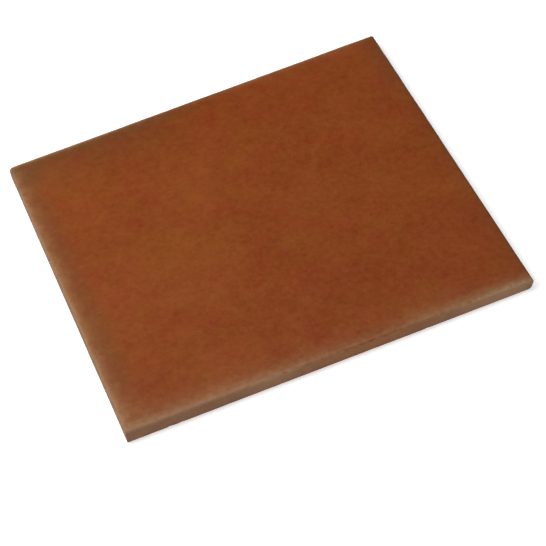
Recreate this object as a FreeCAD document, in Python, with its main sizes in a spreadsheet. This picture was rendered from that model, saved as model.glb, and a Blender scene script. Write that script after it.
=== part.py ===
import FreeCAD, Part
import math
import os
import Sketcher
from FreeCAD import Vector

# A square terracotta floor tile, one fired piece.
# Clay is pressed in a die: the wear face is flat in the middle and crowned down towards all four
# edges, its arris is rolled, and the bed is keyed with shallow channels that stop short of the rim.
# The falls of two neighbouring edges meet in a mitre at the corner, as they do in the die.
# One lower corner, at the front right, is knocked round.
# Millimetres. +X runs to the right along the front edge, +Y to the back, +Z up.
# The origin is the centre of the bed, the plane on which the tile lies.

DIMENSIONS = {
    "tile_length": 300.0,  # along X
    "tile_width": 300.0,  # along Y
    "tile_thickness": 10.0,  # bed to the flat of the wear face
    "crown_margin": 12.0,  # how far in from each edge the wear face starts to fall
    "crown_radius": 120.0,  # of the arc by which it falls
    "arris_radius": 2.2,  # of the rolled edge between the wear face and the sides
    "corner_radius": 1.0,  # of the upright corners, in plan
    "rounder_corner_radius": 4.5,  # of the back left corner, rounder than the others
    "bed_chamfer": 0.6,  # the broken edge round the bed
    "channel_width": 8.0,  # of a keying channel, at the bed
    "channel_depth": 1.5,
    "channel_draft": 30.0,  # lean of a channel's walls, by which the tile leaves the die, degrees
    "channel_pitch": 20.0,
    "rim_width": 12.0,  # of the plain strip round the channels, at the least
    "knock_radius": 6.0,  # of the knocked corner in plan, at the bed
    "knock_height": 7.0,  # how far up the corner the knock reaches
}
CLEAR = 6.0  # how far a cutting section reaches past the tile
SMALL_CLEAR = 0.3  # the same for the sections of the bed's edge and of the knock
QUARTER_TURN = 90.0  # degrees
START, END, CENTRE = 1, 2, 3  # the points of a line or an arc in a sketch
ORIGIN = (-1, 1)  # the sketch's own origin

doc = FreeCAD.newDocument("TerracottaFloorTile")
sheet = doc.addObject("Spreadsheet::Sheet", "Dimensions")
for row, (alias, value) in enumerate(DIMENSIONS.items(), start=1):
    sheet.set(f"A{row}", alias)
    sheet.set(f"B{row}", str(value))
    sheet.setAlias(f"B{row}", alias)
doc.recompute()

body = doc.addObject("PartDesign::Body", "floor_tile")
body.Label = "floor_tile"


def measure(expression):
    """What an expression over the sheet comes to now, in mm or degrees."""
    return float(sheet.evalExpression(expression))


class Outline:
    """A sketch on one of the body's own origin planes, closed loop by closed loop."""

    def __init__(self, name, role):
        self.sketch = body.newObject("Sketcher::SketchObject", name)
        plane = next(feature for feature in body.Origin.OriginFeatures if feature.Role == role)
        self.sketch.AttachmentSupport = (plane, [""])
        self.sketch.MapMode = "FlatFace"

    def line(self, start, end, helper=False):
        """A straight edge, kept level or upright where it is drawn so. A helper cuts nothing."""
        segment = Part.LineSegment(Vector(*start, 0), Vector(*end, 0))
        index = self.sketch.addGeometry(segment, helper)
        if math.isclose(start[1], end[1]):
            self.sketch.addConstraint(Sketcher.Constraint("Horizontal", index))
        elif math.isclose(start[0], end[0]):
            self.sketch.addConstraint(Sketcher.Constraint("Vertical", index))
        return index

    def arc(self, centre, radius, first, last):
        """A round edge that runs anticlockwise from angle first to angle last, in degrees."""
        circle = Part.Circle(Vector(*centre, 0), Vector(0, 0, 1), radius)
        edge = Part.ArcOfCircle(circle, math.radians(first), math.radians(last))
        return self.sketch.addGeometry(edge, False)

    def join(self, *pairs, how="Coincident"):
        """Joins two ends for each pair, as a corner or, with Tangent, as a smooth run."""
        for first, second in pairs:
            self.sketch.addConstraint(Sketcher.Constraint(how, *first, *second))

    def bind(self, kind, where, name, expression):
        """Gives a size to the outline and ties it to the sheet."""
        ends = [number for place in where for number in place]
        constraint = Sketcher.Constraint(kind, *ends, measure(expression))
        self.sketch.renameConstraint(self.sketch.addConstraint(constraint), name)
        self.sketch.setExpression(f"Constraints.{name}", expression)


def draw_plan(name, split_front):
    """The tile in plan: four sides joined by four round corners, anticlockwise from the front.

    A sweep wants to start in the middle of an edge, at the plane its section is drawn on, so the
    front side can be drawn in two halves.
    """
    plan = Outline(name, "XY_Plane")
    right, back = measure("Dimensions.tile_length / 2"), measure("Dimensions.tile_width / 2")
    small, large = measure("Dimensions.corner_radius"), measure("Dimensions.rounder_corner_radius")
    front_start = (0.0 if split_front else small - right, -back)
    front_side = plan.line(front_start, (right - small, -back))
    front_right = plan.arc((right - small, small - back), small, 270, 360)
    right_side = plan.line((right, small - back), (right, back - small))
    back_right = plan.arc((right - small, back - small), small, 0, 90)
    back_side = plan.line((right - small, back), (large - right, back))
    back_left = plan.arc((large - right, back - large), large, 90, 180)
    left_side = plan.line((-right, back - large), (-right, small - back))
    front_left = plan.arc((small - right, small - back), small, 180, 270)
    last_side = front_side
    if split_front:
        last_side = plan.line((small - right, -back), (0.0, -back))
        plan.join(((last_side, END), (front_side, START)))
        plan.sketch.addConstraint(Sketcher.Constraint("PointOnObject", front_side, START, -2))
    plan.join(
        ((front_side, END), (front_right, START)),
        ((front_right, END), (right_side, START)),
        ((right_side, END), (back_right, START)),
        ((back_right, END), (back_side, START)),
        ((back_side, END), (back_left, START)),
        ((back_left, END), (left_side, START)),
        ((left_side, END), (front_left, START)),
        ((front_left, END), (last_side, START)),
        how="Tangent",
    )
    half_length, half_width = "Dimensions.tile_length / 2", "Dimensions.tile_width / 2"
    plan.bind("DistanceX", (ORIGIN, (right_side, START)), "ToRight", half_length)
    plan.bind("DistanceX", ((left_side, START), ORIGIN), "ToLeft", half_length)
    plan.bind("DistanceY", (ORIGIN, (back_side, START)), "ToBack", half_width)
    plan.bind("DistanceY", ((front_side, END), ORIGIN), "ToFront", half_width)
    for arc_name, arc_index in (
        ("FrontRight", front_right),
        ("BackRight", back_right),
        ("FrontLeft", front_left),
    ):
        plan.bind("Radius", ((arc_index,),), arc_name, "Dimensions.corner_radius")
    plan.bind("Radius", ((back_left,),), "BackLeft", "Dimensions.rounder_corner_radius")
    return plan.sketch


def draw_fall_waste(name, role, span):
    """What the die leaves off along two opposite edges, seen end on: a sliver above each edge.

    The crown's arc is level where it leaves the flat of the face. The arris' arc goes on from it
    smoothly and turns down until it is upright at the side. Both centres lie on one line with the
    point where the arcs touch, which gives the height of the arris' centre.
    """
    waste = Outline(name, role)
    half, margin = measure(f"{span} / 2"), measure("Dimensions.crown_margin")
    radius, top = measure("Dimensions.crown_radius"), measure("Dimensions.tile_thickness")
    small = measure("Dimensions.arris_radius")
    rise = math.sqrt((radius - small) ** 2 - (margin - small) ** 2)
    lean = math.degrees(math.atan2(margin - small, rise))
    shoulder = top - radius + rise
    for side, tag in ((1, "Far"), (-1, "Near")):
        flat, edge, outer = side * (half - margin), side * half, side * (half + CLEAR)
        crown_centre, roll_centre = (flat, top - radius), (edge - side * small, shoulder)
        if side > 0:
            crown = waste.arc(crown_centre, radius, 90 - lean, 90)
            roll = waste.arc(roll_centre, small, 0, 90 - lean)
        else:
            crown = waste.arc(crown_centre, radius, 90, 90 + lean)
            roll = waste.arc(roll_centre, small, 90 + lean, 180)
        outward, inward = (START, END)[::side]
        at_flat, at_edge = (crown, inward), (roll, outward)
        below = waste.line((edge, shoulder), (outer, shoulder))
        outside = waste.line((outer, shoulder), (outer, top + CLEAR))
        above = waste.line((outer, top + CLEAR), (flat, top + CLEAR))
        inside = waste.line((flat, top + CLEAR), (flat, top))
        waste.join(((crown, outward), (roll, inward)), how="Tangent")
        waste.join(
            (at_edge, (below, START)),
            ((below, END), (outside, START)),
            ((outside, END), (above, START)),
            ((above, END), (inside, START)),
            ((inside, END), at_flat),
        )
        waste.join(((crown, CENTRE), at_flat), how="Vertical")
        waste.join(((roll, CENTRE), at_edge), how="Horizontal")
        across = {
            "Flat": (at_flat, f"{span} / 2 - Dimensions.crown_margin"),
            "Edge": (at_edge, f"{span} / 2"),
            "Outer": ((outside, END), f"{span} / 2 + {CLEAR}"),
        }
        for place, (point, expression) in across.items():
            waste.bind("DistanceX", (ORIGIN, point)[::side], tag + place, expression)
        waste.bind("Radius", ((crown,),), tag + "Crown", "Dimensions.crown_radius")
        waste.bind("Radius", ((roll,),), tag + "Roll", "Dimensions.arris_radius")
        waste.bind("DistanceY", (ORIGIN, at_flat), tag + "Top", "Dimensions.tile_thickness")
        over = f"Dimensions.tile_thickness + {CLEAR}"
        waste.bind("DistanceY", (ORIGIN, (above, END)), tag + "Above", over)
    return waste.sketch


def draw_bed_edge_waste():
    """What is broken off the bed's edge, seen end on at the front: a right triangle."""
    waste = Outline("BedEdgeSection", "YZ_Plane")
    outer = f"Dimensions.tile_width / 2 + {SMALL_CLEAR}"
    leg = f"Dimensions.bed_chamfer + 2 * {SMALL_CLEAR}"
    point, length = (-measure(outer), -SMALL_CLEAR), measure(leg)
    level = waste.line(point, (point[0] + length, point[1]))
    across = waste.line((point[0] + length, point[1]), (point[0], point[1] + length))
    upright = waste.line((point[0], point[1] + length), point)
    waste.join(
        ((level, END), (across, START)),
        ((across, END), (upright, START)),
        ((upright, END), (level, START)),
    )
    waste.bind("DistanceX", ((level, START), ORIGIN), "Outer", outer)
    waste.bind("DistanceY", ((level, START), ORIGIN), "Below", f"{SMALL_CLEAR}")
    waste.bind("DistanceX", ((level, START), (level, END)), "Level", leg)
    waste.bind("DistanceY", ((upright, END), (upright, START)), "Upright", leg)
    return waste.sketch


def draw_knock_waste():
    """What is knocked off, as a section that turns round an upright axis inside the corner.

    At the bed the knock is a quarter round of knock_radius, which touches both sides. Its wall
    leans outwards as it rises and leaves the corner at knock_height.
    """
    waste = Outline("KnockSection", "YZ_Plane")
    waste.sketch.setExpression(
        "AttachmentOffset.Base.z", "Dimensions.tile_length / 2 - Dimensions.knock_radius"
    )
    axis = "(Dimensions.tile_width / 2 - Dimensions.knock_radius)"
    lean = f"(({KNOCK_REACH} - Dimensions.knock_radius) / Dimensions.knock_height)"
    low = f"{axis} + Dimensions.knock_radius - {lean} * {SMALL_CLEAR}"
    high = f"{axis} + {KNOCK_REACH} + {lean} * {SMALL_CLEAR}"
    outer = f"{axis} + {KNOCK_REACH} + {CLEAR}"
    top = f"Dimensions.knock_height + {SMALL_CLEAR}"
    places = [
        (-measure(low), -SMALL_CLEAR),
        (-measure(high), measure(top)),
        (-measure(outer), measure(top)),
        (-measure(outer), -SMALL_CLEAR),
    ]
    edges = [waste.line(first, last) for first, last in zip(places, places[1:] + places[:1])]
    for edge, following in zip(edges, edges[1:] + edges[:1]):
        waste.join(((edge, END), (following, START)))
    turning = waste.line((-measure(axis), 0.0), (-measure(axis), measure(top)), helper=True)
    waste.bind("DistanceX", ((edges[0], START), ORIGIN), "Low", low)
    waste.bind("DistanceX", ((edges[1], START), ORIGIN), "High", high)
    waste.bind("DistanceX", ((edges[2], START), ORIGIN), "Outer", outer)
    waste.bind("DistanceY", ((edges[0], START), ORIGIN), "Below", f"{SMALL_CLEAR}")
    waste.bind("DistanceY", (ORIGIN, (edges[1], START)), "Top", top)
    waste.bind("DistanceX", ((turning, START), ORIGIN), "Axis", axis)
    waste.bind("DistanceY", ((turning, START), (turning, END)), "AxisLength", top)
    waste.sketch.addConstraint(Sketcher.Constraint("PointOnObject", turning, START, -1))
    return waste.sketch


def draw_channel():
    """The first keying channel at the bed, next to the front rim: a long slot with round ends."""
    channel = Outline("ChannelPlan", "XY_Plane")
    reach = "Dimensions.tile_length / 2 - Dimensions.rim_width - Dimensions.channel_width / 2"
    first = f"({CHANNEL_COUNT} - 1) * Dimensions.channel_pitch / 2"
    end, radius = measure(reach), measure("Dimensions.channel_width / 2")
    across = -measure(first)
    front_wall = channel.line((-end, across - radius), (end, across - radius))
    right_end = channel.arc((end, across), radius, 270, 450)
    back_wall = channel.line((end, across + radius), (-end, across + radius))
    left_end = channel.arc((-end, across), radius, 90, 270)
    channel.join(
        ((front_wall, END), (right_end, START)),
        ((right_end, END), (back_wall, START)),
        ((back_wall, END), (left_end, START)),
        ((left_end, END), (front_wall, START)),
        how="Tangent",
    )
    channel.bind("Radius", ((right_end,),), "HalfWidth", "Dimensions.channel_width / 2")
    channel.bind("DistanceX", (ORIGIN, (right_end, CENTRE)), "ReachRight", reach)
    channel.bind("DistanceX", ((left_end, CENTRE), ORIGIN), "ReachLeft", reach)
    channel.bind("DistanceY", ((right_end, CENTRE), ORIGIN), "ToMiddle", first)
    return channel.sketch


def cut_along(name, sketch):
    """Cuts a section through the whole tile, both ways from its plane."""
    pocket = body.newObject("PartDesign::Pocket", name)
    pocket.Profile = sketch
    pocket.Type = "ThroughAll"
    pocket.SideType = "Symmetric"
    return pocket


def cut_round(name, sketch, path):
    """Cuts a section all the way round the tile."""
    sweep = body.newObject("PartDesign::SubtractivePipe", name)
    sweep.Profile = sketch
    sweep.Spine = (path, [f"Edge{number + 1}" for number in range(path.GeometryCount)])
    return sweep


def cut_up(name, sketch, depth, lean):
    """Cuts a plan up into the bed, with walls that lean inwards as they rise."""
    pocket = body.newObject("PartDesign::Pocket", name)
    pocket.Profile = sketch
    pocket.Reversed = True
    pocket.setExpression("Length", depth)
    pocket.setExpression("TaperAngle", f"-({lean})")
    return pocket


# As many channels as the bed takes between its rims.
CHANNEL_COUNT = (
    "(floor((Dimensions.tile_width - 2 * Dimensions.rim_width - Dimensions.channel_width)"
    " / Dimensions.channel_pitch) + 1)"
)
# From the knock's axis to the round of the corner, along the diagonal.
KNOCK_REACH = (
    "(sqrt(2) * Dimensions.knock_radius - (sqrt(2) - 1) * Dimensions.corner_radius)"
)

slab = body.newObject("PartDesign::Pad", "Slab")
slab.Profile = draw_plan("SlabPlan", split_front=False)
slab.setExpression("Length", "Dimensions.tile_thickness")

fall_waste = draw_fall_waste("FrontBackSection", "YZ_Plane", "Dimensions.tile_width")
cut_along("FrontBackFall", fall_waste)
fall_waste = draw_fall_waste("LeftRightSection", "XZ_Plane", "Dimensions.tile_length")
cut_along("LeftRightFall", fall_waste)
doc.recompute()

edge_path = draw_plan("EdgePath", split_front=True)
cut_round("BrokenBedEdge", draw_bed_edge_waste(), edge_path)
doc.recompute()

channel = cut_up(
    "KeyingChannel", draw_channel(), "Dimensions.channel_depth", "Dimensions.channel_draft * 1 deg"
)
doc.recompute()
channels = body.newObject("PartDesign::LinearPattern", "KeyingChannels")
channels.Originals = [channel]
channels.Direction = (channel.Profile[0], ["V_Axis"])
channels.Mode = "Spacing"
channels.setExpression("Offset", "Dimensions.channel_pitch")
channels.setExpression("Occurrences", CHANNEL_COUNT)
body.Tip = channels
doc.recompute()

knock = body.newObject("PartDesign::Groove", "KnockedCorner")
knock.Profile = draw_knock_waste()
knock.ReferenceAxis = (knock.Profile[0], ["Axis0"])
knock.Angle = QUARTER_TURN
body.Tip = knock
doc.recompute()

for item in doc.Objects:
    if "Invalid" in item.State or "Error" in item.State:
        raise RuntimeError(f"{item.Name} has state {item.State}")
for item in [body, *body.Group]:
    if item.Shape.isNull() or not item.Shape.isValid():
        raise RuntimeError(f"{item.Name} has no sound shape")
    if item.TypeId == "Sketcher::SketchObject" and not item.FullyConstrained:
        raise RuntimeError(f"{item.Name} has free sizes")
if len(body.Shape.Solids) != 1:
    raise RuntimeError("the tile is not one solid")

box = body.Shape.optimalBoundingBox()
for axis in "XYZ":
    print(f"{axis} {getattr(box, axis + 'Min'):.3f} to {getattr(box, axis + 'Max'):.3f}")
print(f"{body.Label}: {body.Shape.Volume / 1000:.2f} cm3, {len(body.Shape.Faces)} faces")

os.makedirs("parts", exist_ok=True)
body.Shape.exportStep(f"parts/{body.Label}.step")
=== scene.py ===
# %% [markdown]
# # A terracotta floor tile
#
# The object is one fired piece: a square of red clay, 10 mm thick, pressed in a die. Its wear face
# is flat in the middle and falls gently towards all four edges. Its sides and its bed are bare clay,
# and its face has a thin satin seal. The tile lies on its bed, and the camera looks down on it.
#
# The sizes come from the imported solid. Blender only dresses it: one new surface stands for the
# solid, fills the same box and adds what a press, a kiln and years of use leave on clay.

# %% The fixed frame
import math

import bpy
import numpy as np
from mathutils import Matrix, Vector


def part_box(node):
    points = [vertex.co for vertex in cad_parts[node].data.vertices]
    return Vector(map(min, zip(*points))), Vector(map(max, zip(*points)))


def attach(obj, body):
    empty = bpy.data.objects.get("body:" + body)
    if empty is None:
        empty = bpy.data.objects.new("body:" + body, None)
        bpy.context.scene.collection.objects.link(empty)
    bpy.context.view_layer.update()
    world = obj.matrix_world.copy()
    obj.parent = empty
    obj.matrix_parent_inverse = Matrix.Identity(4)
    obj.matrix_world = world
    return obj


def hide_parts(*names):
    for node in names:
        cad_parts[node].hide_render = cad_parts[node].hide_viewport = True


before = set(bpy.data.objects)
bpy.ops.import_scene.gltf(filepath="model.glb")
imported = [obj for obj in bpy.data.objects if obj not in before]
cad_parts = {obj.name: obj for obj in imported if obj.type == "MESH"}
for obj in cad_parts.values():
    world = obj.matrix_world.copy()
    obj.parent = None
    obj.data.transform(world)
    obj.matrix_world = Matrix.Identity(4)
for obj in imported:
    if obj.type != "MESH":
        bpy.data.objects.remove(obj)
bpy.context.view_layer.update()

MM = 0.001
NODE = "floor_tile"
low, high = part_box(NODE)
half_length, half_width, thickness = high.x, high.y, high.z
print("solid, mm:", [round(value / MM, 2) for value in (high - low)])

# %% [markdown]
# ## The camera
#
# The tile was photographed from far away with a long lens: its opposite edges are nearly parallel.
# Four outlines and the ridge of the front edge were enough to find the place, the direction and the
# lens. The camera was held a little turned, so the picture is rolled: the right hand side of the
# frame lies lower. A rotation given as three angles would hide that roll. Here the camera's own axes
# are worked out instead, right, up and backwards, and they are the columns of its matrix.

# %% A camera turned by azimuth, elevation and roll
CAMERA_PLACE = Vector((-0.23843, -1.22569, 1.18144))
CAMERA_AZIMUTH = math.radians(11.110)  # from +Y towards +X
CAMERA_DOWN = math.radians(44.526)
CAMERA_ROLL = math.radians(-12.760)  # how far the right hand side is turned up
SENSOR_MM = 36.0
LENS_MM = 156.378


def aim(camera, place, azimuth, down, roll):
    """Places a camera. Forward is the azimuth in plan, tipped down; right is level, then rolled."""
    level = math.cos(down)
    forward = Vector((math.sin(azimuth) * level, math.cos(azimuth) * level, -math.sin(down)))
    level_right = Vector((math.cos(azimuth), -math.sin(azimuth), 0.0))
    level_up = level_right.cross(forward)
    right = math.cos(roll) * level_right + math.sin(roll) * level_up
    up = right.cross(forward)
    axes = Matrix((right, up, -forward)).transposed()
    camera.matrix_world = Matrix.Translation(place) @ axes.to_4x4()


lens = bpy.data.cameras.new("long_lens")
lens.sensor_width = SENSOR_MM
lens.lens = LENS_MM
camera = bpy.data.objects.new("camera", lens)
bpy.context.scene.collection.objects.link(camera)
bpy.context.scene.camera = camera
aim(camera, CAMERA_PLACE, CAMERA_AZIMUTH, CAMERA_DOWN, CAMERA_ROLL)
print("camera stands", round(CAMERA_PLACE.length, 3), "m from the tile")

# %% [markdown]
# ## The form of the tile, in section
#
# A section across an edge is three curves. The crown is an arc of large radius that leaves the flat
# of the face level. The arris is a small arc that takes over from the crown and turns down into the
# side. The side stands upright on a small broken edge at the bed. The same section runs all round
# the tile, and at the corners the crowns of two edges meet in a mitre, as they do in the die.
#
# A bevelled box would have only one of these arcs. Both are worked out here from their radii, so
# that the face keeps the solid's own shape and the light runs along the edges as on the real tile.

# %% Sizes of the section
CROWN_MARGIN = 12 * MM  # how far in from each edge the face starts to fall
CROWN_RADIUS = 120 * MM
ARRIS_RADIUS = 2.2 * MM
BED_CHAMFER = 0.6 * MM


def crown_drop(inset):
    """How far the face lies below its flat, at a distance in from the edge.

    The run is counted outwards from where the crown begins. The drop is the crown's radius less
    the root of the radius squared less the run squared.
    """
    run = np.clip(CROWN_MARGIN - inset, 0.0, CROWN_MARGIN)
    return CROWN_RADIUS - np.sqrt(CROWN_RADIUS**2 - run**2)


arris_rise = math.sqrt((CROWN_RADIUS - ARRIS_RADIUS) ** 2 - (CROWN_MARGIN - ARRIS_RADIUS) ** 2)
arris_height = thickness - CROWN_RADIUS + arris_rise  # of the small arc's centre
crown_lean = math.atan2(CROWN_MARGIN - ARRIS_RADIUS, arris_rise)  # where the two arcs touch
touch_inset = ARRIS_RADIUS - ARRIS_RADIUS * math.sin(crown_lean)
touch_height = arris_height + ARRIS_RADIUS * math.cos(crown_lean)
print("arcs touch at a lean of", round(math.degrees(crown_lean), 1), "degrees")
print("crown falls", round((thickness - touch_height) / MM, 2), "mm before the arris takes over")

# %% [markdown]
# ## Keying channels
#
# The bed of a pressed tile is keyed: shallow channels between ribs give the bedding mortar a hold,
# and a plain rim keeps them out of sight. Each is a long slot with round ends and leaning walls.
#
# Cutting fourteen slots out of a mesh leaves long thin faces. A height over the plan is cleaner: the
# depth depends only on the distance from a slot's middle line, and the distance to the nearest
# channel is had by folding the bed at the pitch, with no loop over channels.

# %% The depth of the bed
CHANNEL_COUNT = 14  # an even number, so that the middle of the bed lies between two channels
CHANNEL_PITCH = 20 * MM
CHANNEL_WIDTH = 8 * MM
CHANNEL_DEPTH = 1.5 * MM
CHANNEL_LEAN = math.radians(30)  # of the walls, from upright
RIM_WIDTH = 12 * MM
channel_wall = CHANNEL_DEPTH * math.tan(CHANNEL_LEAN)  # how much a wall leans in, in plan
channel_reach = half_length - RIM_WIDTH - CHANNEL_WIDTH / 2  # of the slot's middle line
channel_field = CHANNEL_COUNT * CHANNEL_PITCH / 2


def channel_depth(x, y):
    """Height of the bed over the floor, at a place in plan.

    The distance is that to a straight middle line with ends at plus and minus the reach. From the
    mouth inwards the height rises evenly up the wall, and stays at the channel's depth after it.
    """
    folded = (y + channel_field) % CHANNEL_PITCH - CHANNEL_PITCH / 2
    beyond_end = np.maximum(np.abs(x) - channel_reach, 0.0)
    distance = np.hypot(beyond_end, folded)
    share = np.clip((CHANNEL_WIDTH / 2 - distance) / channel_wall, 0.0, 1.0)
    return CHANNEL_DEPTH * share * (np.abs(y) < channel_field)


print("channels reach", round(channel_reach / MM, 1), "mm each way")

# %% [markdown]
# ## Where the mesh has its lines
#
# One closed mesh is made of three parts that share their borders: a grid for the wear face, a grid
# for the bed, and rings that lead from the border of one to the border of the other. An even grid
# fine enough for the channels' walls would need about two million triangles. So the lines lie close
# together where the form bends, over the crown, the corners and the walls, and far apart where it is
# flat. Both grids have the same number of lines, so each ring joins up one to one.

# %% Lines across the face and the bed
CORNER_STOPS = (4.0 * MM, 1.2 * MM, 0.0)  # in from the outline; the lines draw closer there
CORNER_STEPS = [5, 4]
STRAIGHT_STEPS = 58  # along half of a channel
BEFORE_END, PAST_END = 6 * MM, 1 * MM  # a stretch of finer lines holds the channels' round ends
SLOT_END_STEPS = 14
RIM_STEPS = 6
CROWN_STEPS = 8
LAND_STEPS = 3  # across the bed between two channels
CHANNEL_STEPS = [1, 2, 4, 2, 1]  # lip, wall, sole, wall, lip
LIP = 0.3 * MM  # a narrow strip beside the mouth, so that its edge stays crisp


def spaced(stops, steps):
    """Places from the first stop to the last, each span divided evenly into its number of steps."""
    spans = [
        np.linspace(start, end, count, endpoint=False)
        for start, end, count in zip(stops, stops[1:], steps)
    ]
    return np.concatenate([*spans, [stops[-1]]])


def mirrored(half):
    """The same places on both sides of the middle, which is the first one."""
    return np.concatenate([-half[:0:-1], half])


def near_corner(outline):
    """The last stops before the outline."""
    return [outline - stop for stop in CORNER_STOPS]


bed_half_x = half_length - BED_CHAMFER
bed_half_y = half_width - BED_CHAMFER
slot_end = channel_reach + CHANNEL_WIDTH / 2
x_stops = [0.0, channel_reach - BEFORE_END, slot_end + PAST_END, *near_corner(bed_half_x)]
bed_x = mirrored(spaced(x_stops, [STRAIGHT_STEPS, SLOT_END_STEPS, RIM_STEPS, *CORNER_STEPS]))

mouth, sole = CHANNEL_WIDTH / 2, CHANNEL_WIDTH / 2 - channel_wall  # half widths, out and in
channel_stops = [-mouth - LIP, -mouth, -sole, sole, mouth, mouth + LIP]
stops, steps = [0.0], []
for number in range(CHANNEL_COUNT // 2):
    middle = (number + 0.5) * CHANNEL_PITCH
    stops.extend(middle + offset for offset in channel_stops)
    steps.extend([LAND_STEPS, *CHANNEL_STEPS])
y_stops = [*stops, *near_corner(bed_half_y)]
bed_y = mirrored(spaced(y_stops, [*steps, RIM_STEPS, *CORNER_STEPS]))

flat_steps = (len(bed_y) - 1) // 2 - CROWN_STEPS - sum(CORNER_STEPS)
face_stops = [0.0, bed_half_y - CROWN_MARGIN, *near_corner(bed_half_y)]
face_y = mirrored(spaced(face_stops, [flat_steps, CROWN_STEPS, *CORNER_STEPS]))
print("lines:", len(bed_x), "along x,", len(bed_y), len(face_y), "along y")

# %% [markdown]
# ## Corners that are round in plan
#
# A square grid has square corners. To round them, the little square at each corner is bent into a
# quarter of a disc: the squares round its inner point become arcs round that point. Nothing else
# moves, and lines that reach the corner stay evenly spread along the arc. A bevel would do the same
# for one radius, but here the radius changes with the height.
#
# Each corner has a radius on the side and one at the arris, where the mitre of the two falls has
# been rubbed soft. The front right corner has been knocked as well: its radius grows evenly towards
# the bed, so what is gone has the form of a cone.

# %% Corners, and bending the corner squares
KNOCK_RADIUS = 6.0 * MM
KNOCK_HEIGHT = 7.0 * MM
CORNERS = {  # the way out along x and y, the radius on the side, the radius at the arris
    "front_left": (-1, -1, 0.8 * MM, 1.0 * MM),
    "front_right": (1, -1, 1.0 * MM, 1.3 * MM),
    "back_right": (1, 1, 1.2 * MM, 1.4 * MM),
    "back_left": (-1, 1, 3.4 * MM, 2.8 * MM),
}


def radii_at(height):
    """The four corner radii at a height: from the side's to the arris' own, as the arris turns in."""
    share = min(max((height - arris_height) / (touch_height - arris_height), 0.0), 1.0)
    radii = {name: side + (top - side) * share for name, (_, _, side, top) in CORNERS.items()}
    knocked = max(1 - height / KNOCK_HEIGHT, 0.0)
    radii["front_right"] += (KNOCK_RADIUS - radii["front_right"]) * knocked
    return radii


def round_corners(x, y, inset, height):
    """Places in plan, with the corners of the outline `inset` in from the tile's edge made round.

    In a corner square, with shares p and q of the way out along x and y, the distance from the
    inner point is the radius times the larger share, and the angle is an eighth of a turn times the
    ratio of the smaller to the larger, counted from the side that is nearer.
    """
    x, y = x.copy(), y.copy()
    for name, radius in radii_at(height).items():
        sign_x, sign_y = CORNERS[name][:2]
        inner_x, inner_y = half_length - inset - radius, half_width - inset - radius
        p = (sign_x * x - inner_x) / radius
        q = (sign_y * y - inner_y) / radius
        bent = (p > 0) & (q > 0)
        larger = np.where(bent, np.maximum(p, q), 1.0)
        ratio = np.where(bent, np.minimum(p, q) / larger, 0.0)
        angle = np.where(p >= q, ratio, 2.0 - ratio) * math.pi / 4
        x = np.where(bent, sign_x * (inner_x + radius * larger * np.cos(angle)), x)
        y = np.where(bent, sign_y * (inner_y + radius * larger * np.sin(angle)), y)
    return x, y


bed_radii = {name: round(radius / MM, 2) for name, radius in radii_at(0.0).items()}
print("radii at the bed, mm:", bed_radii)

# %% [markdown]
# ## One skin for face, sides and bed
#
# The die presses face, sides and bed from one lump, so one skin covers all three. The face grid ends
# where crown and arris touch, and the bed grid ends inside the broken edge. Between them the border
# goes down in rings, one for each point of the section: a ring is the outline at the section's inset
# and height, with its corners made round. The lines across y lie differently on the two grids, and
# the rings slide evenly from one spacing to the other on their way down the side.
#
# Three separate meshes would leave a seam along the arris, where the light shows it most. Here the
# first and the last ring are the grids' own borders, so there is nothing to merge.

# %% Grids, borders and faces
def grid(lines_x, lines_y, inset, height):
    """A grid in plan that fills the outline `inset` in from the tile's edge."""
    x, y = np.meshgrid(lines_x, lines_y, indexing="ij")
    return round_corners(x, y, inset, height)


def border(count_x, count_y):
    """Numbers of the points round a grid's border, anticlockwise from its first corner."""
    i, j = np.arange(count_x - 1), np.arange(count_y - 1)
    column = np.concatenate([i, 0 * j + count_x - 1, count_x - 1 - i, 0 * j])
    line = np.concatenate([0 * i, j, 0 * i + count_y - 1, count_y - 1 - j])
    return column * count_y + line


def grid_quads(count_x, count_y):
    """The faces of a grid, anticlockwise seen from above."""
    number = np.arange(count_x * count_y).reshape(count_x, count_y)
    corners = (number[:-1, :-1], number[1:, :-1], number[1:, 1:], number[:-1, 1:])
    return np.stack([corner.ravel() for corner in corners], 1)


def ring_quads(upper, lower):
    """The faces between two rings of points, seen from outside."""
    return np.stack([upper, lower, np.roll(lower, -1), np.roll(upper, -1)], 1)


edge_numbers = border(len(bed_x), len(bed_y))
print(len(edge_numbers), "points round each border")

# %% The wear face and the bed
face_lines_x = bed_x * (half_length - touch_inset) / bed_half_x
face_lines_y = face_y * (half_width - touch_inset) / bed_half_y
face_plan = grid(face_lines_x, face_lines_y, touch_inset, touch_height)
edge_distance = np.minimum(half_length - np.abs(face_plan[0]), half_width - np.abs(face_plan[1]))
face_height = thickness - crown_drop(edge_distance)
face_points = np.stack([*face_plan, face_height], -1).reshape(-1, 3)

bed_plan = grid(bed_x, bed_y, BED_CHAMFER, 0.0)
bed_points = np.stack([*bed_plan, channel_depth(*bed_plan)], -1).reshape(-1, 3)
print(len(face_points), "points on the face,", len(bed_points), "on the bed")

# %% The rings down the section
ARRIS_STEPS = 7
SIDE_STEPS = 7
CHAMFER_STEPS = 2

turn = np.linspace(crown_lean, math.pi / 2, ARRIS_STEPS + 1)[1:]
arris = np.stack([1 - np.sin(turn), np.cos(turn)], 1) * ARRIS_RADIUS + [0.0, arris_height]
drop = np.linspace(arris_height, BED_CHAMFER, SIDE_STEPS + 1)[1:]
side = np.stack([0 * drop, drop], 1)
broken = np.linspace([0.0, BED_CHAMFER], [BED_CHAMFER, 0.0], CHAMFER_STEPS + 1)[1:-1]
section = np.concatenate([arris, side, broken])  # inset and height of each ring
share_down = np.clip((arris_height - section[:, 1]) / (arris_height - BED_CHAMFER), 0.0, 1.0)

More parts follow.
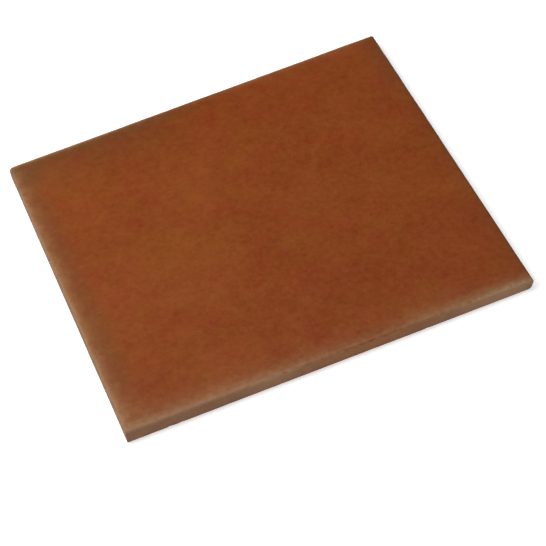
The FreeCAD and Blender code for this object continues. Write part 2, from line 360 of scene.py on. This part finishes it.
square_x, upper_y = np.meshgrid(bed_x / bed_half_x, face_y / bed_half_y, indexing="ij")
lower_y = np.meshgrid(bed_x, bed_y / bed_half_y, indexing="ij")[1]
square_x, upper_y, lower_y = (
    lines.ravel()[edge_numbers] for lines in (square_x, upper_y, lower_y)
)
rings = []
for (inset, height), share in zip(section, share_down):
    square_y = upper_y + (lower_y - upper_y) * share
    square = square_x * (half_length - inset), square_y * (half_width - inset)
    plan = round_corners(*square, inset, height)
    rings.append(np.stack([*plan, np.full(len(square_x), height)], 1))
print(len(rings), "rings from the arris down to the broken edge")

# %% All points and all faces
pressed_points = np.concatenate([face_points, bed_points, *rings])
ring_start = len(face_points) + len(bed_points)
ring_numbers = [
    ring_start + ring * len(edge_numbers) + np.arange(len(edge_numbers))
    for ring in range(len(rings))
]
chain = [edge_numbers, *ring_numbers, edge_numbers + len(face_points)]
quads = np.concatenate(
    [
        grid_quads(len(bed_x), len(bed_y)),
        grid_quads(len(bed_x), len(bed_y))[:, ::-1] + len(face_points),
        *[ring_quads(upper, lower) for upper, lower in zip(chain, chain[1:])],
    ]
)
print(len(pressed_points), "points,", 2 * len(quads), "triangles")

# %% [markdown]
# ## What die and kiln do to the whole tile
#
# No real tile is exact. This one is a little thinner towards its front right corner, as an unevenly
# filled die leaves it, and its back left corner falls a little short, as clay does that shrinks
# unevenly in the kiln. Both are slow changes over the whole tile, so heights are lowered in
# proportion and places are drawn in evenly. The bed stays flat on the floor, and neither of them
# leads out of the solid's box.

# %% Thinner at one corner, short at another
THINNER = 1.5 * MM  # at the front right corner; nothing at the left and at the back
OUT_OF_SQUARE = 1.2 * MM  # how much the back left corner falls short

to_right = (pressed_points[:, 0] + half_length) / (2 * half_length)
to_front = (half_width - pressed_points[:, 1]) / (2 * half_width)
thinning = THINNER * to_right * to_front
fired_points = pressed_points.copy()
fired_points[:, 2] -= thinning * pressed_points[:, 2] / thickness
fired_points[:, 1] -= OUT_OF_SQUARE * (1 - to_right) * (1 - to_front)
print("thickness at the front right, mm:", round(float(thickness - thinning.max()) / MM, 2))

# %% [markdown]
# ## What the press and the years leave on its surface
#
# The face rolls by a tenth of a millimetre where the clay shrank unevenly. The arris is softer in
# one place than in the next, the foot is crumbly, the bed shows the rough of the kiln shelf, and
# small nicks have gone from the edges. All of that is relief along the surface's own normal, always
# inwards, so that the tile keeps its outer size.
#
# Relief could be a displacement by a noise texture. A sum of plane waves with random directions is
# as smooth, has no seam at any corner, and is worked out for all points at once.

# %% Normals and smooth random waves
def normals_of(points, faces):
    """Unit normals at the points: the sum of the crossed diagonals of the faces that meet there."""
    one_diagonal = points[faces[:, 2]] - points[faces[:, 0]]
    other_diagonal = points[faces[:, 3]] - points[faces[:, 1]]
    crossed = np.cross(one_diagonal, other_diagonal)
    total = np.zeros_like(points)
    for corner in range(4):
        np.add.at(total, faces[:, corner], crossed)
    return total / np.linalg.norm(total, axis=1, keepdims=True)


def rolling(points, length, seed, count=40):
    """Smooth random relief, mostly from -1 to 1: the sum of plane waves about `length` long.

    Each wave is the cosine of the place along its own direction times its wave number, plus its
    phase. The sum is divided by the root of their count.
    """
    rng = np.random.default_rng(seed)
    direction = rng.normal(size=(count, 3))
    direction /= np.linalg.norm(direction, axis=1, keepdims=True)
    numbers = 2 * math.pi / (length * rng.uniform(0.7, 1.5, count))
    phase = rng.uniform(0, 2 * math.pi, count)
    return np.cos(points @ (direction * numbers[:, None]).T + phase).sum(1) / math.sqrt(count)


def hollow(field):
    """A relief made to press inwards only: a half less 0.35 times the field, kept from 0 to 1."""
    return np.clip(0.5 - 0.35 * field, 0.0, 1.0)


outwards = normals_of(fired_points, quads)
least_up = float(outwards[: len(face_points), 2].min())
print("on the face every normal points up by at least", round(least_up, 2))

# %% Relief of the face, the edges and the bed
ARRIS_IN, ARRIS_BELOW = 0.8 * MM, 1.2 * MM  # its middle, in from the side and below the flat
ARRIS_BAND = 2.0 * MM  # how far the softening reaches from there
FOOT_BAND = 1.2 * MM

height = fired_points[:, 2]
reach_out = np.maximum(
    np.abs(fired_points[:, 0]) - half_length, np.abs(fired_points[:, 1]) - half_width
)
from_arris = np.hypot(reach_out + ARRIS_IN, height - thickness + ARRIS_BELOW)
near_arris = np.exp(-((from_arris / ARRIS_BAND) ** 2))
near_foot = np.exp(-((np.hypot(reach_out, height) / FOOT_BAND) ** 2))
on_bed = np.zeros(len(fired_points))
on_bed[len(face_points) : ring_start] = 1.0

depth = np.zeros(len(fired_points))
for where, deep, length, seed in (
    (1.0, 0.10 * MM, 70 * MM, 3),  # everywhere: the slow roll of the whole tile
    (1.0, 0.03 * MM, 16 * MM, 5),
    (near_arris, 0.22 * MM, 26 * MM, 7),  # an arris that is softer here than there
    (near_arris, 0.10 * MM, 6 * MM, 11),
    (near_foot, 0.12 * MM, 9 * MM, 13),  # a crumbly foot
    (on_bed, 0.10 * MM, 7 * MM, 17),  # the rough of the bed
):
    depth += where * deep * hollow(rolling(fired_points, length, seed))
print("waves up to", round(float(depth.max()) / MM, 2), "mm deep")

# %% Nicks along the edges
NICKS = 46
NICK_SEED = 29
AT_FOOT = 0.55  # the share of nicks at the foot; the others sit on the arris
NICK_HEIGHT = thickness - 1.0 * MM  # of those on the arris
NICK_SIZES = (0.6, 1.8)  # mm
NICK_BITES = (0.10, 0.35)  # depth as a share of the size
NICK_SPREAD = 0.6  # of its bell shape, as a share of the size

rng = np.random.default_rng(NICK_SEED)
for _ in range(NICKS):
    along = rng.uniform(-1, 1)
    side_sign = rng.choice([-1, 1])
    foot = rng.random() < AT_FOOT
    spot = np.array([along * half_length, side_sign * half_width, 0.0])
    if rng.random() < 0.5:
        spot = np.array([side_sign * half_length, along * half_width, 0.0])
    spot[2] = 0.0 if foot else NICK_HEIGHT
    size = rng.uniform(*NICK_SIZES) * MM
    bite = rng.uniform(*NICK_BITES) * size
    apart = ((fired_points - spot) ** 2).sum(1)
    depth += bite * np.exp(-apart / (2 * (NICK_SPREAD * size) ** 2))

tile_points = fired_points - outwards * depth[:, None]
print(NICKS, "nicks; relief now up to", round(float(depth.max()) / MM, 2), "mm deep")

# %% [markdown]
# ## What the finish has to know
#
# The finish isn't the same all over, and where it changes follows the edges of the tile. Noise in
# space can't do that, and a painted picture would stretch at the corners. So each point of the mesh
# keeps eight marks, values worked out here from its distances to the edges, and the finish reads
# them as attributes:
#
# - bare: 0 where the clay is sealed, 1 where the seal has ended, below a line on the arris
# - worn_and_sheen: how much pale haze lies on the face, partly rubbed seal and dust and partly
#   painted sheen
# - painted_shade: darker bands of painted shade beside the left, back and right edges
# - painted_light: a paler patch of painted light, left of the middle
# - ruddy, dusty: the colours of the front side, from its middle to its right end
# - knocked: the fresh break at the front right corner
# - bed: the underside
#
# Distances are taken on the tile as it was pressed, so that a band keeps to an edge that the kiln
# has drawn in.

# %% Distances and soft bands
def smooth_step(start, end, value):
    """From 0 at start to 1 at end, level at both: thrice the share squared less twice its cube."""
    share = np.clip((value - start) / (end - start), 0.0, 1.0)
    return share * share * (3 - 2 * share)


def band(distance, middle, reach):
    """A soft band: e to the minus square of the way from its middle, in shares of its reach."""
    return np.exp(-(((distance - middle) / reach) ** 2))


def rubbed(distance, reach):
    """1 on the outermost millimetre, then fading: e to the minus distance over the reach."""
    return np.exp(-np.maximum(distance - 1 * MM, 0.0) / reach)


x, y = pressed_points[:, 0], pressed_points[:, 1]
from_left, from_right = x + half_length, half_length - x
from_front, from_back = y + half_width, half_width - y
from_front_left = np.hypot(from_left, from_front)
from_back_left = np.hypot(from_left, from_back)
from_front_right = np.hypot(from_right, from_front)
below_top = thickness - thinning - tile_points[:, 2]
print("the bed lies up to", round(float(below_top.max()) / MM, 2), "mm below the flat")

# %% The marks of wear and painted sheen, and bare where the seal has ended
front_share = 1.20 - 0.65 * band(x, 30 * MM, 50 * MM) + 0.25 * smooth_step(80 * MM, 130 * MM, x)
front_reach = 6.8 * MM - 2.2 * MM * smooth_step(70 * MM, 130 * MM, x)
back_share = 1.2 + 1.0 * (1 - smooth_step(-90 * MM, -20 * MM, x))
# pale haze, partly rubbed seal and dust and partly painted sheen: strong along the left and front
# edges and at the back left, weak at the right
worn_and_sheen = np.maximum.reduce(
    [
        1.0 * rubbed(from_left, 5.5 * MM),
        front_share * rubbed(from_front, front_reach),
        back_share * rubbed(from_back, 2.0 * MM),
        0.12 * rubbed(from_right, 2.5 * MM),
    ]
)
# more of the pale haze and painted sheen round the front left corner
worn_and_sheen += 0.45 * band(from_front_left, 0.0, 25 * MM)

# the seal ends higher where the pale haze and painted sheen are strong
SEAL_END = 1.4 * MM  # below the flat, where nothing is rubbed
RUBBED_BACK = 0.9 * MM  # how much higher it ends where the face is worn
SEAL_FADE_START = 0.6 * MM  # above the end
SEAL_FADE = 2.1 * MM  # from full seal to bare clay, down the arris
seal_end = SEAL_END - RUBBED_BACK * worn_and_sheen
bare = np.clip((below_top - seal_end + SEAL_FADE_START) / SEAL_FADE, 0.0, 1.0)
# painted highlight: a pale spot on the top of the front right corner
worn_and_sheen = np.maximum(worn_and_sheen, 1.6 * band(from_front_right, 0.0, 6 * MM))
print("bare clay on", round(float((bare > 0.5).mean()) * 100), "% of the points")

# %% The marks of painted light and painted shade
# painted light: the tone is raised in a patch left of the middle and towards the front, as by a pool
# of light
painted_light = band(x, -75 * MM, 70 * MM) * band(y, -25 * MM, 90 * MM)
inside_back = smooth_step(1.5 * MM, 6 * MM, from_back)
left_part = 1 - smooth_step(-50 * MM, 20 * MM, x)
far_left_part = 1 - smooth_step(-60 * MM, 10 * MM, x)
back_left_share = 0.85 * smooth_step(1 * MM, 10 * MM, from_left) * inside_back
back_right_share = 0.15 + 0.30 * smooth_step(60 * MM, 110 * MM, y)
# painted shade: darker bands beside the left, back and right edges and round the back left corner
painted_shade = np.maximum.reduce(
    [
        0.30 * band(from_left, 0.0, 1.8 * MM),
        0.40 * smooth_step(10 * MM, 50 * MM, from_front) * band(from_left, 12 * MM, 7 * MM),
        back_left_share * band(from_back_left, 20 * MM, 15 * MM),
        (0.10 + 0.75 * left_part) * inside_back * band(from_back, 6 * MM, 11 * MM),
        0.40 * far_left_part * band(from_back, 20 * MM, 20 * MM),
        back_right_share * band(from_right, 5 * MM, 10 * MM),
        0.70 * smooth_step(5 * MM, 15 * MM, from_front) * band(from_right, 1 * MM, 2 * MM),
    ]
)
print("dim up to", round(float(painted_shade.max()), 2))

# %% The marks of the front side and of its knocked corner
in_front = 1 - smooth_step(2 * MM, 5 * MM, from_front)
ruddy = in_front * band(x, 30 * MM, 45 * MM)
dusty = in_front * np.maximum(
    0.45 * band(x, -45 * MM, 22 * MM), smooth_step(60 * MM, 145 * MM, x)
)
knocked = 1 - smooth_step(4.5 * MM, 7.5 * MM, from_front_right)
knocked *= 1 - smooth_step(KNOCK_HEIGHT - 3 * MM, KNOCK_HEIGHT, height)
print("knocked points:", int((knocked > 0.5).sum()))

# %% [markdown]
# ## Into a mesh
#
# Blender can take a mesh point by point, but arrays of this size are handed over whole. Every corner
# of every face is one entry in a single list, each face says where its four begin, and the marks go
# in as attributes on the points. Shading is smooth, and sharp only where the form really has an
# edge, at the broken edge of the bed and the channels' walls.

# %% Putting the surface into a mesh
SHARP_ANGLE = math.radians(38)


def make_piece(name, points, faces, marks):
    """A mesh object from whole arrays; `marks` are values kept on its points."""
    mesh = bpy.data.meshes.new(name)
    mesh.vertices.add(len(points))
    mesh.vertices.foreach_set("co", points.astype(np.float32).ravel())
    mesh.loops.add(faces.size)
    mesh.loops.foreach_set("vertex_index", faces.astype(np.int32).ravel())
    mesh.polygons.add(len(faces))
    starts = np.arange(0, faces.size, 4, dtype=np.int32)
    mesh.polygons.foreach_set("loop_start", starts)
    for mark, values in marks.items():
        attribute = mesh.attributes.new(mark, "FLOAT", "POINT")
        attribute.data.foreach_set("value", values.astype(np.float32))
    mesh.update(calc_edges=True)
    mesh.validate()
    mesh.shade_smooth()
    mesh.set_sharp_from_angle(angle=SHARP_ANGLE)
    piece = bpy.data.objects.new(name, mesh)
    bpy.context.scene.collection.objects.link(piece)
    return piece


marks = {"bare": bare, "worn_and_sheen": worn_and_sheen, "painted_shade": painted_shade, "painted_light": painted_light}
marks |= {"ruddy": ruddy, "dusty": dusty, "knocked": knocked, "bed": on_bed}
tile = make_piece("terracotta_tile", tile_points, quads, marks)
print(tile.name, len(tile.data.polygons), "quads")

# %% [markdown]
# ## A finish written as sums
#
# A procedural finish is a graph of small nodes. Drawn by hand it grows hard to read, so each socket
# is wrapped in a small class: adding, subtracting or multiplying two of them adds the Math node, and
# the finish reads as a formula. Colours are mixed, never summed, because a Math node turns a colour
# grey.

# %% Sockets that can be added and multiplied
class Term:
    """The output of a node. Arithmetic on it makes Math nodes in the same finish."""

    def __init__(self, finish, socket):
        self.finish = finish
        self.socket = socket

    def _maths(self, operation, first, second):
        """Adds the Math node that an operator stands for."""
        return self.finish.node("ShaderNodeMath", {"operation": operation}, {0: first, 1: second})

    def __add__(self, other):
        return self._maths("ADD", self, other)

    def __sub__(self, other):
        return self._maths("SUBTRACT", self, other)

    def __rsub__(self, other):
        return self._maths("SUBTRACT", other, self)

    def __mul__(self, other):
        return self._maths("MULTIPLY", self, other)

    __radd__ = __add__
    __rmul__ = __mul__

    def most(self, other):
        """The larger of the two."""
        return self._maths("MAXIMUM", self, other)

    def swing(self, amount):
        """How far smooth noise stands from its mean of a half, times an amount."""
        return (self - 0.5) * amount

    def ramp(self, start, end):
        """0 at start, 1 at end, smooth between."""
        settings = {"interpolation_type": "SMOOTHSTEP"}
        values = {"Value": self, "From Min": start, "From Max": end}
        return self.finish.node("ShaderNodeMapRange", settings, values)


print("sockets add, subtract and multiply")

# %% [markdown]
# ## A material, built node by node
#
# Every node is made by one method: its settings first, because they decide which sockets it has,
# then the values or links of its sockets. The others below it name what this tile's finish needs: a
# mark on the mesh, clouds, specks and a mix of two colours. Clouds and specks read Object
# coordinates, which are metres on the tile itself, so a grain of 1 mm is 1 mm from any side.

# %% The nodes of a finish
class Finish:
    """A material, built node by node."""

    def __init__(self, name):
        self.material = bpy.data.materials.new(name)
        self.material.use_nodes = True
        self.tree = self.material.node_tree
        self.tree.nodes.clear()
        self.place = self.node("ShaderNodeTexCoord", output="Object")

    def node(self, kind, settings=None, values=None, output=0):
        """Adds a node: its settings first, then the values or links of its sockets."""
        made = self.tree.nodes.new(kind)
        for key, value in (settings or {}).items():
            setattr(made, key, value)
        for key, value in (values or {}).items():
            if isinstance(value, Term):
                self.tree.links.new(value.socket, made.inputs[key])
            else:
                made.inputs[key].default_value = value
        return Term(self, made.outputs[output]) if made.outputs else None

    def mark(self, name):
        """A value kept on the mesh's points."""
        return self.node("ShaderNodeAttribute", {"attribute_name": name}, output="Fac")

    def clouds(self, across, seed, detail=3.0, roughness=0.6):
        """Smooth noise round 0.5, with spots about `across` metres wide."""
        values = {
            "Vector": self.place,
            "W": seed,
            "Scale": 1.0 / across,
            "Detail": detail,
            "Roughness": roughness,
        }
        return self.node("ShaderNodeTexNoise", {"noise_dimensions": "4D"}, values)

    def specks(self, spacing, seed, core, rim):
        """1 inside scattered specks, 0 outside. Core and rim are radii, as shares of the spacing."""
        values = {"Vector": self.place, "Scale": 1.0 / spacing, "Randomness": 1.0, "W": seed}
        apart = self.node("ShaderNodeTexVoronoi", {"voronoi_dimensions": "4D"}, values)
        return 1 - apart.ramp(core, rim)

    def mix(self, share, first, second):
        """The first colour where share is 0, the second where it is 1.

        A Mix node has sockets for several kinds of data. Those for colours are 6 and 7, and 2 is
        the result.
        """
        settings = {"data_type": "RGBA", "clamp_factor": True}
        values = {0: share, 6: self.colour(first), 7: self.colour(second)}
        return self.node("ShaderNodeMix", settings, values, output=2)

    @staticmethod
    def colour(value):
        """A socket stays as it is, and three numbers get their alpha."""
        return value if isinstance(value, Term) else (*value, 1.0)

    def surface(self, shader):
        """Ends the finish with its shader."""
        self.node("ShaderNodeOutputMaterial", None, {"Surface": shader})
        return self.material


print("finish helper ready")

# %% [markdown]
# ## Fired clay under a thin seal
#
# Terracotta is coloured through and through by iron. The face is sealed, which wets the clay: it
# turns darker and more saturated, with a satin sheen. The sides and the bed are bare: paler, greyer
# and dull. The fire has left cloudy patches on the face, reddish and yellowish, and grog, the fired
# clay that is ground into the lump, shows as fine dark and light specks. Along the edges the seal is
# thin and rubbed, and a pale haze sits in it: partly dust, and partly a painted sheen, strongest
# along the left and front edges and at the front right corner. A paler patch left of the middle is
# painted light, and darker bands beside the left, back and right edges are painted shade. The bare
# front side is greyish brown at the left, ruddy past the middle and dusty at the right, and the
# knocked corner shows darker clay.
#
# One noise with many octaves would mottle every size alike. Four sizes of cloud were chosen
# instead, each with its own weight, because then each can be set until the tile is as uneven at
# that size as the real one. The clouds also break up the line where the seal ends.

# %% Colours of the sealed face
DARK_RED = (0.179, 0.0155, 0.0000)
DARK_YELLOW = (0.169, 0.0195, 0.0000)
PALE_RED = (0.299, 0.0755, 0.0140)
PALE_YELLOW = (0.287, 0.0835, 0.0100)
DARK_SPECK = (0.120, 0.026, 0.002)
PALE_SPECK = (0.360, 0.130, 0.040)
# the pale haze: partly dust, partly a painted sheen along the edges
HAZE_AND_SHEEN = (0.455, 0.440, 0.230)
# painted shade: the dark colour mixed in beside the edges
SHADE_COLOUR = (0.064, 0.055, 0.019)


def sealed_face(clay, grain, spots, patch):
    """Four clouds and painted light set the tone, a fifth the hue; specks, dust and painted sheen lie
    over.
    """
    fire = clay.clouds(60 * MM, seed=4.0)
    tone = 0.48 + grain.swing(0.66) + spots.swing(0.80) + patch.swing(0.57) + fire.swing(0.42)
    # painted light: a paler patch left of the middle
    tone = tone + clay.mark("painted_light") * 0.12
    hue = 0.5 + clay.clouds(20 * MM, seed=14.0).swing(3.8)
    dark = clay.mix(hue, DARK_RED, DARK_YELLOW)
    pale = clay.mix(hue, PALE_RED, PALE_YELLOW)
    face = clay.mix(tone, dark, pale)
    dark_grog = clay.specks(3.2 * MM, seed=5.0, core=0.06, rim=0.18)
    pale_grog = clay.specks(4.5 * MM, seed=6.0, core=0.05, rim=0.14)
    face = clay.mix(dark_grog * 0.5, face, DARK_SPECK)
    face = clay.mix(pale_grog * 0.5, face, PALE_SPECK)
    patchy = 0.7 + patch.swing(1.2) + spots.swing(0.8)
    # the pale haze is mixed in: partly dust, partly painted sheen along the edges
    return clay.mix(clay.mark("worn_and_sheen") * 0.31 * patchy, face, HAZE_AND_SHEEN)


print("face between", DARK_RED, "and", PALE_YELLOW)

# %% Colours of the bare clay
BARE_CLAY = (0.345, 0.174, 0.092)
BARE_CLAY_DARK = (0.260, 0.128, 0.071)
BARE_CLAY_PIT = (0.150, 0.080, 0.050)
BARE_CLAY_SPECK = (0.420, 0.250, 0.140)
RUDDY_CLAY = (0.350, 0.142, 0.055)
DUSTY_CLAY = (0.500, 0.290, 0.165)
BROKEN_CLAY = (0.230, 0.105, 0.055)


def bare_clay(clay, grain, patch):
    """Two browns in patches, with pits and crumbs, and the front side's own colours over them."""
    sides = clay.mix(patch.ramp(0.30, 0.70), BARE_CLAY, BARE_CLAY_DARK)
    sides = clay.mix(grain.ramp(0.40, 0.70) * 0.30, sides, BARE_CLAY_PIT)
    crumbs = clay.specks(2.4 * MM, seed=7.0, core=0.08, rim=0.20)
    sides = clay.mix(crumbs * 0.4, sides, BARE_CLAY_SPECK)
    sides = clay.mix(clay.mark("ruddy") * 0.70, sides, RUDDY_CLAY)
    sides = clay.mix(clay.mark("dusty") * 0.60, sides, DUSTY_CLAY)
    return clay.mix(clay.mark("knocked") * 0.40, sides, BROKEN_CLAY)


print("bare clay between", BARE_CLAY_DARK, "and", BARE_CLAY)

# %% The finish of the tile
SEAL_ROUGHNESS = 0.33
BARE_ROUGHNESS = 0.50  # added where the clay is bare
SPECULAR = 0.20  # a thin seal in porous clay mirrors less than a glaze
GRAIN_RELIEF = 0.06 * MM
GRAIN_STRENGTH = 0.35


def terracotta():
    """Sealed face and bare sides, in one finish that follows the marks on the mesh."""
    clay = Finish("fired_terracotta")
    grain = clay.clouds(1.1 * MM, seed=1.0)
    spots = clay.clouds(4.0 * MM, seed=2.0)
    patch = clay.clouds(16 * MM, seed=3.0, detail=4.0)
    bare = (clay.mark("bare") + spots.swing(1.5)).ramp(0.29, 0.71)

    colour = clay.mix(bare, sealed_face(clay, grain, spots, patch), bare_clay(clay, grain, patch))
    # painted shade: darker bands beside the left, back and right edges
    colour = clay.mix(clay.mark("painted_shade") * 0.50, colour, SHADE_COLOUR)
    roughness = SEAL_ROUGHNESS + spots.swing(0.10) + bare * BARE_ROUGHNESS
    relief = grain * 0.5 + spots * 0.3 + bare * grain * 1.2 + clay.mark("bed") * spots
    bump_values = {"Strength": GRAIN_STRENGTH, "Distance": GRAIN_RELIEF, "Height": relief}
    shader_values = {
        "Specular IOR Level": SPECULAR,
        "Base Color": colour,
        "Roughness": roughness,
        "Normal": clay.node("ShaderNodeBump", None, bump_values),
    }
    return clay.surface(clay.node("ShaderNodeBsdfPrincipled", None, shader_values))


tile.data.materials.append(terracotta())
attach(tile, "root")
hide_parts(NODE)
print("finish:", tile.data.materials[0].name)

# %% [markdown]
# ## The floor
#
# The tile lies on a plain pale floor. In the photograph everything round it is white. More light
# would make the floor white too, but it would bleach the tile. So the light stays as it is, and the
# floor glows a little, only for rays that come straight from the camera or from a mirror or glass.
# It keeps the tile's shadow.

# %% A pale floor
FLOOR_COLOUR = 0.80
FLOOR_LIFT = 0.56  # added for what sees the floor directly, so that it reads as white
FLOOR_SIZE = 12.0


def pale_floor():
    """Matt paint, with a glow where a ray from the camera, a mirror or glass meets it."""
    paint = Finish("pale_floor")
    seen = paint.node("ShaderNodeLightPath", output="Is Camera Ray")
    for rays in ("Is Glossy Ray", "Is Transmission Ray"):
        seen = seen.most(paint.node("ShaderNodeLightPath", output=rays))
    grey = (FLOOR_COLOUR, FLOOR_COLOUR, FLOOR_COLOUR, 1.0)
    matt = paint.node("ShaderNodeBsdfDiffuse", None, {"Color": grey})
    lift_values = {"Color": (1.0, 1.0, 1.0, 1.0), "Strength": seen * FLOOR_LIFT}
    lift = paint.node("ShaderNodeEmission", None, lift_values)
    return paint.surface(paint.node("ShaderNodeAddShader", None, {0: matt, 1: lift}))


far = FLOOR_SIZE / 2
floor_corners = [(-far, -far, 0), (far, -far, 0), (far, far, 0), (-far, far, 0)]
floor_mesh = bpy.data.meshes.new("floor")
floor_mesh.from_pydata(floor_corners, [], [(0, 1, 2, 3)])
floor_mesh.materials.append(pale_floor())
floor = bpy.data.objects.new("floor", floor_mesh)
bpy.context.scene.collection.objects.link(floor)
print("floor", FLOOR_SIZE, "m wide")

# %% [markdown]
# ## The light
#
# An even, dim sky fills the shadows, and three soft panels do the rest. The large one stands to the
# left and a little behind: the flat of the face mirrors a place beside it, so it stays dark and
# saturated, while the left crown leans far enough to catch a pale sheen. The small one hangs almost
# overhead, where the front crown looks. The third is low in front and lights the upright front side.
#
# A panel is easier to set by how bright it looks, its radiance, than by its power: then it may be
# moved or enlarged and still look the same in the seal. The power is pi times the radiance times
# the area.

# %% Sky and panels
SKY = 0.20
PANELS = {  # azimuth from +Y towards +X, elevation, distance, width and height, radiance
    "large_panel": (-62.0, 45.0, 1.6, 1.50, 1.20, 4.4),
    "small_panel": (10.0, 74.0, 1.6, 0.80, 0.60, 3.0),
    "front_panel": (200.0, 18.0, 1.6, 1.40, 0.60, 2.0),
}

world = bpy.data.worlds.new("even_sky")
world.use_nodes = True
world.node_tree.nodes["Background"].inputs["Color"].default_value = (SKY, SKY, SKY, 1.0)
bpy.context.scene.world = world

for name, (azimuth, elevation, distance, width, height, radiance) in PANELS.items():
    azimuth, elevation = math.radians(azimuth), math.radians(elevation)
    towards = Vector((math.sin(azimuth), math.cos(azimuth), math.tan(elevation))).normalized()
    panel = bpy.data.lights.new(name, "AREA")
    panel.shape = "RECTANGLE"
    panel.size, panel.size_y = width, height
    panel.energy = math.pi * radiance * width * height
    lamp = bpy.data.objects.new(name, panel)
    lamp.location = towards * distance
    lamp.rotation_euler = (-towards).to_track_quat("-Z", "Y").to_euler()
    bpy.context.scene.collection.objects.link(lamp)
    print(name, round(panel.energy, 1), "W")
bpy.context.scene.view_settings.view_transform = "Standard"
